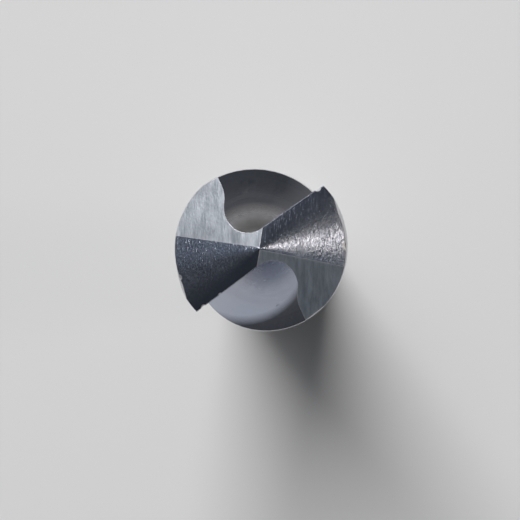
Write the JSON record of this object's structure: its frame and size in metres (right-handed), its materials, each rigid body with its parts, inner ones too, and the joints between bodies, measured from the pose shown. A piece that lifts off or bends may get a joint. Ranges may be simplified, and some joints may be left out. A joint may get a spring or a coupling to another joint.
{
  "type": "twist drill bit",
  "caption": "Short solid-carbide twist drill with right-hand helical flutes, a four-facet point and a plain straight shank, with small chips on its lips.",
  "frame": {"origin": "centre of the flat shank end, which the drill stands on", "axes": "+Z along the drill's axis from the shank end to the point; the first lip lies parallel to +X on the +Y side of the axis"},
  "size_m": [0.01, 0.01, 0.089],
  "materials": {
    "carbide": "ground cemented carbide, uncoated, with fine grinding marks"
  },
  "bodies": {
    "root": {"twist_drill": "carbide"}
  },
  "joints": []
}
